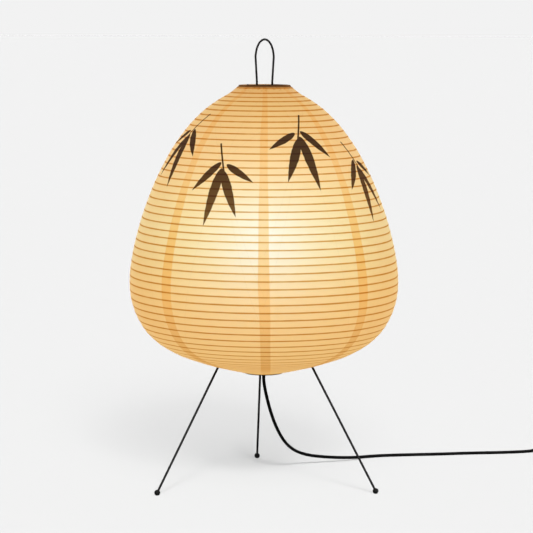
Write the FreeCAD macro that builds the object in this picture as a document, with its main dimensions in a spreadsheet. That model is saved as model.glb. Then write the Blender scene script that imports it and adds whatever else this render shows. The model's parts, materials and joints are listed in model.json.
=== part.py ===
import FreeCAD, Part
import Sketcher
import math
import os

doc = FreeCAD.newDocument("paper_lantern_lamp")

# Driving sizes in millimetres and degrees, each written once.
SIZES = [
    # shade
    ("shade_dia", 259.8), ("shade_top", 387.0), ("shade_bottom", 109.0), ("paper_thick", 0.4),
    ("lap_angle", 5.0), ("lap_gap", 0.3), ("panel_count", 8), ("seam_turn", 267.1),
    ("rib_pitch", 7.2), ("rib_wide", 1.1), ("rib_thick", 0.9), ("rib_gap", 0.3), ("rib_level", 0.3196),
    ("ring_wire", 1.8), ("top_ring_dia", 47.2), ("bottom_ring_dia", 36.6), ("ring_gap", 0.3),
    ("bar_thick", 1.2), ("bar_wide", 7.0), ("plate_thick", 1.5), ("dimple_deep", 0.6),
    # stand
    ("leg_dia", 2.2), ("feet_circle", 241.0), ("leg_lean", 30.6), ("foot_dia", 5.6), ("foot_flat", 0.25),
    ("leg_fit", 0.05), ("hole_gap", 0.7), ("hub_level", 158.0), ("hub_tall", 8.0), ("hub_dia", 51.4),
    ("sleeve_dia", 6.4), ("sleeve_long", 18.0), ("sleeve_shift", 6.5),
    # stretcher wire
    ("stretch_dia", 2.0), ("stretch_fit", 0.3), ("stretch_foot", 12.5), ("stretch_hub", 18.2),
    ("stretch_wide", 26.5), ("neck_half", 7.4), ("loop_half", 8.7), ("loop_rise", 17.5), ("lamp_height", 432.5), ("bend_rad", 6.0),
    # lampholder
    ("holder_dia", 27.6), ("holder_wall", 2.2), ("holder_top", 209.0), ("flange_dia", 33.2), ("flange_tall", 2.5),
    ("thread_gap", 0.3), ("clamp_tall", 5.0), ("cap_tall", 10.0), ("cap_wall", 1.6), ("neck_below", 3.0),
    ("carrier_level", 172.0), ("carrier_tall", 6.0), ("shell_inside", 14.4), ("shell_wall", 0.4), ("shell_below", 0.6),
    ("ledge_wide", 1.4), ("ledge_tall", 4.0), ("contact_tall", 7.0), ("contact_dia", 4.0), ("terminal_half", 6.0),
    ("terminal_dia", 3.6), ("terminal_tall", 1.8), ("lead_dia", 1.0), ("grip_dia", 8.0), ("grip_tall", 5.0),
    # bulb
    ("globe_dia", 45.0), ("globe_rise", 55.0), ("glass_thick", 0.8), ("screw_dia", 13.5), ("screw_tall", 15.5),
    ("screw_flare", 16.0), ("tip_tall", 1.0), ("tip_dia", 4.8), ("button_tall", 3.0), ("flare_tall", 1.5),
    # cord
    ("cord_dia", 3.2), ("cord_gap", 0.3), ("grommet_dia", 8.0), ("grommet_lip", 1.2), ("grommet_neck", 6.0),
    # switch on the cord
    ("switch_x", 325.0), ("switch_y", 139.5), ("switch_long", 46.0), ("switch_wide", 18.0), ("base_tall", 5.5),
    ("cover_tall", 5.5), ("case_wall", 1.6), ("case_round", 3.0), ("rocker_long", 15.2), ("rocker_wide", 8.4),
    ("rocker_gap", 0.4), ("rocker_tilt", 12.0), ("pivot_rise", 2.7), ("pin_dia", 2.0), ("pin_fit", 0.05),
    ("case_screw", 1.6), ("screw_head", 3.2), ("screw_x", 16.5), ("screw_y", 5.2), ("post_dia", 4.0),
    # coil of spare cord
    ("coil_x", 412.0), ("coil_turns", 3), ("coil_step", 3.65), ("coil_layer", 3.8), ("coil_inside", 12.2), ("tie_thick", 0.8),
    ("tie_wide", 6.0), ("tie_gap", 0.4),
    # plug
    ("plug_long", 30.0), ("plug_wide", 22.0), ("plug_tall", 12.0), ("plug_round", 3.5), ("plug_gap", 60.0),
    ("relief_long", 20.0), ("relief_thick", 6.8), ("relief_thin", 4.8),
    ("blade_long", 17.0), ("blade_wide", 6.3), ("blade_thick", 1.5), ("blade_half", 6.35), ("blade_root", 9.0),
    ("blade_fit", 0.05),
]

dims = doc.addObject("Spreadsheet::Sheet", "dims")
for row, (name, value) in enumerate(SIZES, 1):
    dims.set("A%d" % row, name)
    dims.set("B%d" % row, str(value))
    dims.setAlias("B%d" % row, name)
doc.recompute()


class Size:
    # a number together with the sheet formula that makes it
    def __init__(self, value, text):
        self.value = value
        self.text = text

    def join(self, other, sign, value):
        return Size(value, "(%s %s %s)" % (self.text, sign, other.text))

    def __add__(self, other):
        other = as_size(other)
        return self.join(other, "+", self.value + other.value)

    def __radd__(self, other):
        return as_size(other) + self

    def __sub__(self, other):
        other = as_size(other)
        return self.join(other, "-", self.value - other.value)

    def __rsub__(self, other):
        return as_size(other) - self

    def __mul__(self, other):
        other = as_size(other)
        return self.join(other, "*", self.value * other.value)

    def __rmul__(self, other):
        return as_size(other) * self

    def __truediv__(self, other):
        other = as_size(other)
        return self.join(other, "/", self.value / other.value)


def as_size(value):
    if isinstance(value, Size):
        return value
    return Size(float(value), "%.6f" % value)


def dim(name):
    return Size(float(getattr(dims, name)), "dims." + name)


def num(name):
    return float(getattr(dims, name))


V = FreeCAD.Vector
nodes = []


def node(label, thing):
    thing.Label = label
    nodes.append((label, thing))
    return thing


def drive(thing, prop, amount):
    thing.setExpression(prop, as_size(amount).text)


def put(thing, x, y, z):
    # the three coordinates follow the sheet
    drive(thing, "Placement.Base.x", x)
    drive(thing, "Placement.Base.y", y)
    drive(thing, "Placement.Base.z", z)
    return thing


def rod(name, radius, height, x=0, y=0, z=0):
    thing = doc.addObject("Part::Cylinder", name)
    drive(thing, "Radius", radius)
    drive(thing, "Height", height)
    return put(thing, x, y, z)


def lying_rod(name, radius, length, x, y, z, axis):
    # a cylinder lying along +X or +Y from the given point
    thing = rod(name, radius, length, x, y, z)
    turn = FreeCAD.Rotation(V(0, 1, 0), 90) if axis == "X" else FreeCAD.Rotation(V(1, 0, 0), -90)
    thing.Placement = FreeCAD.Placement(V(0, 0, 0), turn)
    return put(thing, x, y, z)


def block(name, x, y, z, long, wide, tall):
    thing = doc.addObject("Part::Box", name)
    drive(thing, "Length", long)
    drive(thing, "Width", wide)
    drive(thing, "Height", tall)
    return put(thing, x, y, z)


def joined(name, things):
    thing = doc.addObject("Part::MultiFuse", name)
    thing.Shapes = things
    thing.Refine = False
    return thing


def cut(name, base, tools):
    tool = tools[0] if len(tools) == 1 else joined(name + "_tools", tools)
    thing = doc.addObject("Part::Cut", name)
    thing.Base = base
    thing.Tool = tool
    thing.Refine = False
    return thing


def rounded(name, base, radius, upright_only):
    # rounds the upright edges of a box, and its upper edges too when asked
    doc.recompute()
    top = base.Shape.BoundBox.ZMax
    picked = []
    for i, edge in enumerate(base.Shape.Edges, 1):
        ends = [v.Point for v in edge.Vertexes]
        upright = abs(ends[0].z - ends[1].z) > 0.5
        upper = min(p.z for p in ends) > top - 0.01
        if upright:
            picked.append((i, radius, radius))
        elif upper and not upright_only:
            picked.append((i, radius * 0.5, radius * 0.5))
    thing = doc.addObject("Part::Fillet", name)
    thing.Base = base
    thing.Edges = picked
    return thing


def profile_sketch(body, name, plane_role, corners):
    # a closed outline whose corners are held by sheet formulas
    sketch = body.newObject("Sketcher::SketchObject", name)
    plane = [f for f in body.Origin.OriginFeatures if f.Role == plane_role][0]
    sketch.AttachmentSupport = [(plane, "")]
    sketch.MapMode = "FlatFace"
    pts = [(as_size(a), as_size(b)) for a, b in corners]
    count = len(pts)
    for i in range(count):
        a, b = pts[i], pts[(i + 1) % count]
        sketch.addGeometry(Part.LineSegment(V(a[0].value, a[1].value, 0), V(b[0].value, b[1].value, 0)), False)
    for i in range(count):
        sketch.addConstraint(Sketcher.Constraint("Coincident", i, 2, (i + 1) % count, 1))
    for i, (a, b) in enumerate(pts):
        if abs(a.value) < 1e-9:
            sketch.addConstraint(Sketcher.Constraint("PointOnObject", i, 1, -2))
        else:
            k = sketch.addConstraint(Sketcher.Constraint("DistanceX", -1, 1, i, 1, a.value))
            sketch.setExpression("Constraints[%d]" % k, a.text)
        if abs(b.value) < 1e-9:
            sketch.addConstraint(Sketcher.Constraint("PointOnObject", i, 1, -1))
        else:
            k = sketch.addConstraint(Sketcher.Constraint("DistanceY", -1, 1, i, 1, b.value))
            sketch.setExpression("Constraints[%d]" % k, b.text)
    return sketch


def turned(name, corners):
    # a lathe part about the upright axis, corners as radius and height
    body = doc.addObject("PartDesign::Body", name)
    sketch = profile_sketch(body, name + "_outline", "XZ_Plane", corners)
    turn = body.newObject("PartDesign::Revolution", name + "_turn")
    turn.Profile = sketch
    turn.ReferenceAxis = (sketch, ["V_Axis"])
    turn.Angle = 360
    body.Tip = turn
    sketch.Visibility = False
    return body


def solid(name, shape):
    thing = doc.addObject("Part::Feature", name)
    thing.Shape = shape
    return thing


def rounded_path(points, most=None):
    # straight runs joined by tangent arcs
    pts = [V(*p) for p in points]
    edges = []
    start = pts[0]
    radii = []
    for i in range(1, len(pts) - 1):
        before, here, after = pts[i - 1], pts[i], pts[i + 1]
        u = (here - before).normalize()
        w = (after - here).normalize()
        half = math.acos(max(-1.0, min(1.0, u.dot(w)))) / 2
        reach = 0.45 * min((here - before).Length, (after - here).Length)
        radius = reach / math.tan(half)
        if most and radius > most:
            radius = most
            reach = radius * math.tan(half)
        first = here - u * reach
        last = here + w * reach
        inward = (w - u).normalize()
        middle = here + inward * (radius / math.cos(half) - radius)
        edges.append(Part.LineSegment(start, first).toShape())
        edges.append(Part.Arc(first, middle, last).toShape())
        radii.append(radius)
        start = last
    edges.append(Part.LineSegment(start, pts[-1]).toShape())
    return Part.Wire(edges), radii


def tube(wire, start, heading, radius):
    ring = Part.Wire([Part.makeCircle(radius, V(*start), V(*heading))])
    pipe = wire.makePipeShell([ring], True, False)
    if pipe.ShapeType != "Solid":
        pipe = pipe.Solids[0]
    expected = math.pi * radius ** 2 * wire.Length
    print("tube length %.1f, volume over section by length %.4f" % (wire.Length, pipe.Volume / expected))
    return pipe


# Places that several pieces share.
shade_r = num("shade_dia") / 2
z_top, z_bottom = num("shade_top"), num("shade_bottom")
wire_r = num("ring_wire") / 2
top_ring_r = num("top_ring_dia") / 2
bottom_ring_r = num("bottom_ring_dia") / 2
leg_r = num("leg_dia") / 2
foot_r = num("foot_dia") / 2
foot_z = foot_r - num("foot_flat")
lean = math.radians(num("leg_lean"))
feet_r = num("feet_circle") / 2
cord_r = num("cord_dia") / 2
LEGS = [("front_left", 210.0), ("front_right", 330.0), ("rear", 90.0)]

plate_low = dim("shade_bottom") + dim("ring_wire") / 2
plate_high = plate_low + dim("plate_thick")
bar_high = dim("shade_top") - dim("ring_wire") / 2
bar_low = bar_high - dim("bar_thick")
hub_low = dim("hub_level")
hub_high = hub_low + dim("hub_tall")
clamp_low = hub_low - dim("clamp_tall")
holder_low = clamp_low - dim("neck_below")
cap_low = holder_low - dim("cap_tall")
carrier_low = dim("carrier_level")
carrier_high = carrier_low + dim("carrier_tall")
contact_high = carrier_high + dim("contact_tall")


def leg_radius_at(z):
    return feet_r - math.tan(lean) * (z - foot_z)


# Half section of the shade as shares of its radius and of its height between the two rings.
HALF_SECTION = [
    (0.390, 0.0281), (0.492, 0.0425), (0.713, 0.0848), (0.856, 0.135), (0.935, 0.1873), (0.980, 0.2417),
    (0.996, 0.2819), (1.000, 0.3271), (0.991, 0.3794), (0.942, 0.4911), (0.866, 0.6027), (0.763, 0.7144),
    (0.6205, 0.826), (0.462, 0.9095), (0.345, 0.9507), (0.246, 0.9789),
]
outline = [V(bottom_ring_r + wire_r + num("ring_gap"), 0, z_bottom)]
for r_share, z_share in HALF_SECTION:
    outline.append(V(shade_r * r_share, 0, z_bottom + (z_top - z_bottom) * z_share))
outline.append(V(top_ring_r + wire_r + num("ring_gap"), 0, z_top))
paper_line = Part.BSplineCurve()
paper_line.interpolate(outline)
PAPER_LENGTH = paper_line.length()


def paper_at(along, inward):
    # a point at a length along the half section, moved toward the inside of the shade
    u = paper_line.parameterAtDistance(along, paper_line.FirstParameter)
    point = paper_line.value(u)
    tangent = paper_line.tangent(u)[0]
    normal = V(-tangent.z, 0, tangent.x)
    return point + normal * inward


def paper_offset(inward, stations=44):
    line = Part.BSplineCurve()
    line.interpolate([paper_at(PAPER_LENGTH * i / stations, inward) for i in range(stations + 1)])
    return line


def paper_wedge(inside, outside, start, sweep):
    # the sheet between two offsets of the half section, turned through an angle
    a = paper_offset(outside)
    b = paper_offset(inside)
    ends = [Part.LineSegment(a.value(a.LastParameter), b.value(b.LastParameter)).toShape(),
            Part.LineSegment(b.value(b.FirstParameter), a.value(a.FirstParameter)).toShape()]
    face = Part.Face(Part.Wire([a.toShape(), ends[0], b.toShape(), ends[1]]))
    wedge = face.revolve(V(0, 0, 0), V(0, 0, 1), sweep)
    wedge.rotate(V(0, 0, 0), V(0, 0, 1), start)
    return wedge


# Paper panels, each with a lap over its neighbour and room for the legs to pass.
thick = num("paper_thick")
lap_low = -num("lap_gap")
lap_high = -num("lap_gap") - thick
panel_count = int(round(num("panel_count")))
share = 360.0 / panel_count
leg_reach = (hub_high.value - foot_z) / math.cos(lean)
leg_holes = []
for leg_name, angle in LEGS:
    a = math.radians(angle)
    base = V(feet_r * math.cos(a), feet_r * math.sin(a), foot_z)
    along = V(-math.cos(a) * math.sin(lean), -math.sin(a) * math.sin(lean), math.cos(lean))
    leg_holes.append(Part.makeCylinder(leg_r + num("hole_gap"), leg_reach, base, along))
sheet = paper_wedge(thick, 0, 0, share)
step = paper_wedge(thick, lap_high, share - 1.0, 1.0)
lap = paper_wedge(lap_low, lap_high, share, num("lap_angle"))
one_panel = sheet.fuse([step, lap]).removeSplitter()
for i in range(panel_count):
    panel = one_panel.copy()
    panel.rotate(V(0, 0, 0), V(0, 0, 1), num("seam_turn") - num("lap_angle") / 2 + share * i)
    panel = panel.cut(leg_holes)
    if len(panel.Solids) == 1:
        panel = panel.Solids[0]
    node("paper_panel_%d" % (i + 1), solid("panel_%d" % (i + 1), panel))

# Bamboo hoops at an even pitch along the paper, kept clear of the places where the legs pass.
stations = [PAPER_LENGTH * i / 2000.0 for i in range(2001)]
level = z_bottom + (z_top - z_bottom) * num("rib_level")
middle = min(stations, key=lambda s: abs(paper_at(s, 0).z - level))
passing = min(stations, key=lambda s: abs(paper_at(s, 0).x - leg_radius_at(paper_at(s, 0).z)))
pitch = num("rib_pitch")
below = max(1, int(round((middle - passing) / pitch - 0.5)))
pitch_below = (middle - passing) / (below + 0.5)
under = max(1, int((passing - 0.5 * pitch_below - 2.5) / pitch))
places = [middle - pitch_below * i for i in range(below + 1)]
places += [passing - 0.5 * pitch_below - pitch * i for i in range(under + 1)]
above = int((PAPER_LENGTH - middle - 4.0) / pitch)
places += [middle + pitch * (i + 1) for i in range(above)]
places = sorted(s for s in places if 2.5 < s < PAPER_LENGTH - 3.0)
hoops = []
for s in places:
    near = thick + num("rib_gap")
    far = near + num("rib_thick")
    w = num("rib_wide") / 2
    corner = [paper_at(s - w, near), paper_at(s + w, near)]
    slope = (corner[1] - corner[0]).normalize()
    inward = V(-slope.z, 0, slope.x) * num("rib_thick")
    corner += [corner[1] + inward, corner[0] + inward]
    face = Part.Face(Part.makePolygon(corner + [corner[0]]))
    hoops.append(face.revolve(V(0, 0, 0), V(0, 0, 1), 360))
third = len(hoops) // 3
node("ribs_lower", solid("hoops_lower", Part.makeCompound(hoops[:third])))
node("ribs_middle", solid("hoops_middle", Part.makeCompound(hoops[third:2 * third])))
node("ribs_upper", solid("hoops_upper", Part.makeCompound(hoops[2 * third:])))
print("hoops", len(hoops), "paper length %.1f" % PAPER_LENGTH)

# Wire rings at both ends of the shade.
ring = doc.addObject("Part::Torus", "ring_top")
drive(ring, "Radius1", dim("top_ring_dia") / 2)
drive(ring, "Radius2", dim("ring_wire") / 2)
drive(ring, "Placement.Base.z", dim("shade_top"))
node("top_ring", ring)
ring = doc.addObject("Part::Torus", "ring_bottom")
drive(ring, "Radius1", dim("bottom_ring_dia") / 2)
drive(ring, "Radius2", dim("ring_wire") / 2)
drive(ring, "Placement.Base.z", dim("shade_bottom"))
node("bottom_ring", ring)

# Bar under the top ring, with two holes for the stretcher.
stretch_hole = dim("stretch_dia") / 2 + dim("stretch_fit")
half_bar = dim("top_ring_dia") / 2 + dim("ring_wire") / 4
bar = block("bar", 0 - half_bar, 0 - dim("bar_wide") / 2, bar_low, half_bar * 2, dim("bar_wide"), dim("bar_thick"))
bar_holes = [rod("bar_hole_right", stretch_hole, dim("bar_thick") + 2, dim("neck_half"), 0, bar_low - 1),
             rod("bar_hole_left", stretch_hole, dim("bar_thick") + 2, 0 - dim("neck_half"), 0, bar_low - 1)]
node("top_bar", cut("bar_drilled", bar, bar_holes))

# Plate on the bottom ring, with a hole for the cord bush and dimples for the stretcher's ends.
disc = rod("disc", dim("bottom_ring_dia") / 2 + dim("ring_wire") / 4, dim("plate_thick"), 0, 0, plate_low)
disc_holes = [
    rod("disc_bush_hole", dim("grommet_neck") / 2 + dim("cord_gap"), dim("plate_thick") + 2, 0, 0, plate_low - 1),
    rod("dimple_right", stretch_hole, dim("plate_thick"), dim("stretch_foot"), 0, plate_high - dim("dimple_deep")),
    rod("dimple_left", stretch_hole, dim("plate_thick"), 0 - dim("stretch_foot"), 0,
        plate_high - dim("dimple_deep")),
]
node("bottom_plate", cut("disc_drilled", disc, disc_holes))

# Rubber bush where the cord leaves the shade.
bush_in = dim("cord_dia") / 2 + dim("cord_gap")
bush_lip = dim("grommet_dia") / 2 + 1
bush_neck = dim("grommet_neck") / 2
node("cord_bush", turned("bush", [
    (bush_in, plate_low - dim("grommet_lip")), (bush_lip, plate_low - dim("grommet_lip")), (bush_lip, plate_low),
    (bush_neck, plate_low), (bush_neck, plate_high), (bush_lip, plate_high),
    (bush_lip, plate_high + dim("grommet_lip")), (bush_in, plate_high + dim("grommet_lip")),
]))

# Stretcher: one bent wire from the plate, through the hub, round the bulb, through the bar and into the loop.
foot_x, hub_x, wide_x = num("stretch_foot"), num("stretch_hub"), num("stretch_wide")
neck_x, loop_x = num("neck_half"), num("loop_half")
low_z = plate_high.value - num("dimple_deep")
loop_rise = num("loop_rise")
loop_z = num("lamp_height") - num("stretch_dia") / 2 - loop_rise
drop = (wide_x - neck_x) / math.tan(math.radians(19.4))
half_path = [
    (foot_x, low_z), (foot_x, low_z + 11), (hub_x, hub_low.value - 9), (hub_x, hub_high.value + 9),
    (wide_x, num("holder_top")), (wide_x, bar_low.value - 2 - drop), (neck_x, bar_low.value - 2),
    (neck_x, bar_high.value + 5), (loop_x, loop_z),
]
right_half, radii = rounded_path([(x, 0, z) for x, z in half_path], num("bend_rad"))
left_half, radii = rounded_path([(-x, 0, z) for x, z in reversed(half_path)], num("bend_rad"))
turns = [math.pi * i / 16 for i in range(17)]
arch = Part.BSplineCurve()
arch.interpolate(
    Points=[V(loop_x * math.cos(a), 0, loop_z + loop_rise * math.sin(a)) for a in turns],
    InitialTangent=V(loop_x - neck_x, 0, loop_z - half_path[-2][1]).normalize(),
    FinalTangent=V(loop_x - neck_x, 0, half_path[-2][1] - loop_z).normalize(),
)
stretch_line = Part.Wire(right_half.Edges + [arch.toShape()] + left_half.Edges)
node("stretcher", solid("stretch_wire", tube(stretch_line, (foot_x, 0, low_z), (0, 0, 1), num("stretch_dia") / 2)))

# Legs with their ball feet.
sleeve_mid = hub_low.value + num("hub_tall") / 2
along_mid = (sleeve_mid - foot_z) / math.cos(lean)
leg_long = along_mid + num("sleeve_long") / 2 - num("sleeve_shift") / 2 - 1.0
sleeves = []
sleeve_bores = []
for leg_name, angle in LEGS:
    a = math.radians(angle)
    spot = V(feet_r * math.cos(a), feet_r * math.sin(a), foot_z)
    along = V(-math.cos(a) * math.sin(lean), -math.sin(a) * math.sin(lean), math.cos(lean))
    turn = FreeCAD.Rotation(V(0, 0, 1), along)

    leg = doc.addObject("Part::Cylinder", "wire_" + leg_name)
    drive(leg, "Radius", dim("leg_dia") / 2)
    leg.Height = leg_long
    leg.Placement = FreeCAD.Placement(spot, turn)
    node("leg_" + leg_name, leg)

    ball = doc.addObject("Part::Sphere", "ball_" + leg_name)
    drive(ball, "Radius", dim("foot_dia") / 2)
    ball.Placement = FreeCAD.Placement(spot, FreeCAD.Rotation())
    floor = block("under_" + leg_name, spot.x - 10, spot.y - 10, -20, 20, 20, 20)
    socket = doc.addObject("Part::Cylinder", "socket_" + leg_name)
    drive(socket, "Radius", dim("leg_dia") / 2 + dim("leg_fit"))
    socket.Height = 20
    socket.Placement = FreeCAD.Placement(spot, turn)
    node("foot_" + leg_name, cut("tip_" + leg_name, ball, [floor, socket]))

    low = spot + along * (along_mid - num("sleeve_long") / 2 - num("sleeve_shift") / 2)
    sleeve = doc.addObject("Part::Cylinder", "sleeve_" + leg_name)
    drive(sleeve, "Radius", dim("sleeve_dia") / 2)
    drive(sleeve, "Height", dim("sleeve_long"))
    sleeve.Placement = FreeCAD.Placement(low, turn)
    sleeves.append(sleeve)
    bore = doc.addObject("Part::Cylinder", "bore_" + leg_name)
    drive(bore, "Radius", dim("leg_dia") / 2 + dim("leg_fit"))
    bore.Height = leg_long - (low - spot).Length + 5
    bore.Placement = FreeCAD.Placement(low - along * 5, turn)
    sleeve_bores.append(bore)

# Hub: a ring on the lampholder with three slanting sleeves for the legs and two holes for the stretcher.
hub_ring = rod("hub_ring", dim("hub_dia") / 2, dim("hub_tall"), 0, 0, hub_low)
hub_hole = rod("hub_hole", dim("holder_dia") / 2 + dim("thread_gap"), dim("hub_tall") + 40, 0, 0, hub_low - 20)
hub_wires = [rod("hub_wire_right", stretch_hole, dim("hub_tall") + 4, dim("stretch_hub"), 0, hub_low - 2),
             rod("hub_wire_left", stretch_hole, dim("hub_tall") + 4, 0 - dim("stretch_hub"), 0, hub_low - 2)]
hub_solid = joined("hub_solid", [hub_ring] + sleeves)
node("leg_hub", cut("hub_bored", hub_solid, [hub_hole] + hub_wires + sleeve_bores))

# Lampholder: body with a flange over the hub, clamp ring under it, cap, contact carrier and contacts.
out_r = dim("holder_dia") / 2
in_r = out_r - dim("holder_wall")
ledge_r = in_r - dim("ledge_wide")
flange_r = dim("flange_dia") / 2
flange_high = hub_high + dim("flange_tall")
node("lampholder_body", turned("holder", [
    (in_r, holder_low), (out_r, holder_low), (out_r, hub_high), (flange_r, hub_high), (flange_r, flange_high),
    (out_r, flange_high), (out_r, dim("holder_top")), (in_r, dim("holder_top")), (in_r, carrier_low),
    (ledge_r, carrier_low), (ledge_r, carrier_low - dim("ledge_tall")), (in_r, carrier_low - dim("ledge_tall")),
]))
clamp_r = out_r + dim("thread_gap")
node("clamp_ring", turned("clamp", [
    (clamp_r, clamp_low), (flange_r - 0.8, clamp_low), (flange_r, clamp_low + 0.8), (flange_r, hub_low),
    (clamp_r, hub_low),
]))
cap_r = out_r - 0.8
cord_hole = dim("cord_dia") / 2 + dim("cord_gap")
cap_floor = cap_low + dim("cap_wall")
node("lampholder_cap", turned("cap", [
    (cord_hole, cap_low), (cap_r - 3, cap_low), (cap_r, cap_low + 3), (cap_r, holder_low),
    (cap_r - dim("cap_wall"), holder_low), (cap_r - dim("cap_wall"), cap_low + 3.5), (cap_r - 3.8, cap_floor),
    (cord_hole, cap_floor),
]))
node("cord_grip", turned("grip", [
    (cord_hole, cap_floor), (dim("grip_dia") / 2, cap_floor), (dim("grip_dia") / 2, cap_floor + dim("grip_tall")),
    (cord_hole, cap_floor + dim("grip_tall")),
]))
node("contact_carrier", rod("carrier", in_r - dim("thread_gap"), dim("carrier_tall"), 0, 0, carrier_low))
shell_in = dim("shell_inside") / 2
shell_high = contact_high + dim("tip_tall") + dim("button_tall") + dim("screw_tall") - dim("shell_below")
node("screw_shell", turned("shell", [
    (shell_in, carrier_high), (shell_in + dim("shell_wall"), carrier_high),
    (shell_in + dim("shell_wall"), shell_high), (shell_in, shell_high),
]))
node("centre_contact", rod("centre", dim("contact_dia") / 2, dim("contact_tall"), 0, 0, carrier_high))
for side, sign in (("left", -1), ("right", 1)):
    head = rod("terminal_head_" + side, dim("terminal_dia") / 2, dim("terminal_tall"), sign * dim("terminal_half"), 0,
               carrier_low - dim("terminal_tall"))
    node("terminal_" + side, head)

# Cord inside the lamp and its two leads.
inside_low = plate_low - dim("grommet_lip") - 1
inside_high = holder_low + 0.5
node("cord_inside", rod("inner_cord", dim("cord_dia") / 2, inside_high - inside_low, 0, 0, inside_low))
for side, sign in (("left", -1), ("right", 1)):
    end = num("terminal_half") * sign
    lead_top = carrier_low.value - num("terminal_tall")
    lead_low = inside_high.value
    near = 0.7 * sign
    line, radii = rounded_path([(near, 0, lead_low), (near, 0, lead_low + 5), (end, 0, lead_top - 6),
                                (end, 0, lead_top)], 5.0)
    node("lead_" + side, solid("lead_wire_" + side, tube(line, (near, 0, lead_low), (0, 0, 1), num("lead_dia") / 2)))

# Bulb: contact tip, insulator, screw cap and round opal glass.
tip_low = contact_high
tip_high = tip_low + dim("tip_tall")
button_high = tip_high + dim("button_tall")
screw_high = button_high + dim("screw_tall")
flare_high = screw_high + dim("flare_tall")
screw_r = dim("screw_dia") / 2
flare_r = dim("screw_flare") / 2
node("bulb_tip", rod("tip", dim("tip_dia") / 2, dim("tip_tall"), 0, 0, tip_low))
node("bulb_insulator", turned("insulator", [
    (0, tip_high), (dim("tip_dia") / 2 + 0.2, tip_high), (screw_r - 1.6, button_high), (0, button_high),
]))
node("bulb_cap", turned("screw_cap", [
    (screw_r - 2.6, button_high), (screw_r, button_high), (screw_r, screw_high), (flare_r, flare_high),
    (flare_r - 1.2, flare_high), (screw_r - 0.8, screw_high), (screw_r - 0.8, button_high + 0.8),
    (screw_r - 2.6, button_high + 0.8),
]))
globe_z = tip_low + dim("globe_rise")


def bulb_form(name, shrink):
    ball = doc.addObject("Part::Sphere", name + "_ball")
    drive(ball, "Radius", dim("globe_dia") / 2 - shrink)
    put(ball, 0, 0, globe_z)
    neck = doc.addObject("Part::Cone", name + "_neck")
    drive(neck, "Radius1", flare_r - shrink)
    drive(neck, "Radius2", dim("globe_dia") * 0.405 - shrink)
    drive(neck, "Height", globe_z - dim("globe_dia") * 0.293 - flare_high)
    put(neck, 0, 0, flare_high)
    return joined(name, [ball, neck])


outer = bulb_form("glass_outside", 0)
inner = bulb_form("glass_inside", dim("glass_thick"))
node("bulb_glass", cut("glass", outer, [inner]))

# Cord from the bush down to the floor and over to the switch.
floor_z = cord_r
case_x, case_y = num("switch_x"), num("switch_y")
seat_z = num("base_tall")
cord_start = inside_low.value
cord_points = [
    (0, 0, cord_start), (0, 0, cord_start - 9.7), (5.2, 9.2, cord_start - 32.7), (13, 22.7, cord_start - 56.7),
    (25, 44, floor_z + 26.4), (42, 75, floor_z + 11), (66, 87, floor_z + 5.4), (96, 101, floor_z + 1.6),
    (120, 119, floor_z + 0.05), (146, 123, floor_z), (188, 126, floor_z), (224, 131, floor_z), (252, 132, floor_z),
    (276, 135.5, floor_z), (case_x - 36, case_y - 1, floor_z + 0.4), (case_x - 22, case_y, seat_z),
    (case_x + 4, case_y, seat_z),
]
cord_line, radii = rounded_path(cord_points)
print("cord bend radii", [round(r, 1) for r in radii])
heading = V(*cord_points[1]) - V(*cord_points[0])
node("cord", solid("cord_tube", tube(cord_line, cord_points[0], tuple(heading), cord_r)))

# Switch case in two halves with cord slots, posts and screws.
wall = dim("case_wall")
sx, sy = dim("switch_x"), dim("switch_y")
mid_x = sx + dim("switch_long") / 2
low_y = sy - dim("switch_wide") / 2
split = dim("base_tall")
roof = split + dim("cover_tall")
slot_r = dim("cord_dia") / 2 + dim("cord_gap")
POSTS = [("a", -1, 1), ("b", 1, -1)]


def post(name, radius, z, tall, a, b):
    return rod(name, radius, tall, mid_x + a * dim("screw_x"), sy + b * dim("screw_y"), z)


base_box = block("base_box", sx, low_y, 0, dim("switch_long"), dim("switch_wide"), split)
base_round = rounded("base_round", base_box, num("case_round"), True)
room = block("base_room", sx + wall, low_y + wall, wall, dim("switch_long") - wall * 2, dim("switch_wide") - wall * 2,
             split)
base_hollow = cut("base_hollow", base_round, [room])
base_posts = [post("base_post_" + n, dim("post_dia") / 2, wall, split - wall, a, b) for n, a, b in POSTS]
base_full = joined("base_full", [base_hollow] + base_posts)
base_cuts = [lying_rod("base_slot", slot_r, dim("switch_long") + 4, sx - 2, sy, split, "X")]
for n, a, b in POSTS:
    base_cuts.append(post("base_bore_" + n, dim("case_screw") / 2 + 0.1, -1, split + 2, a, b))
    base_cuts.append(post("base_sink_" + n, dim("screw_head") / 2 + 0.2, -1, 2.2, a, b))
node("switch_base", cut("base_done", base_full, base_cuts))

cover_box = block("cover_box", sx, low_y, split, dim("switch_long"), dim("switch_wide"), dim("cover_tall"))
cover_round = rounded("cover_round", cover_box, num("case_round"), False)
room = block("cover_room", sx + wall, low_y + wall, split - 1, dim("switch_long") - wall * 2,
             dim("switch_wide") - wall * 2, dim("cover_tall") - wall + 1)
cover_hollow = cut("cover_hollow", cover_round, [room])
cover_posts = [post("cover_post_" + n, dim("post_dia") / 2, split, dim("cover_tall") - wall, a, b) for n, a, b in POSTS]
pivot_z = split + dim("pivot_rise")
cheek_in = dim("rocker_wide") / 2 + dim("rocker_gap")
cheek_wide = dim("switch_wide") / 2 - wall - cheek_in
cheeks = [block("cheek_front", mid_x - 3, low_y + wall, split + 0.5, 6, cheek_wide, dim("cover_tall") - wall - 0.5),
          block("cheek_rear", mid_x - 3, sy + cheek_in, split + 0.5, 6, cheek_wide, dim("cover_tall") - wall - 0.5)]
cover_full = joined("cover_full", [cover_hollow] + cover_posts + cheeks)
window_half = dim("rocker_long") / 2 + dim("rocker_gap") * 3
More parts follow.
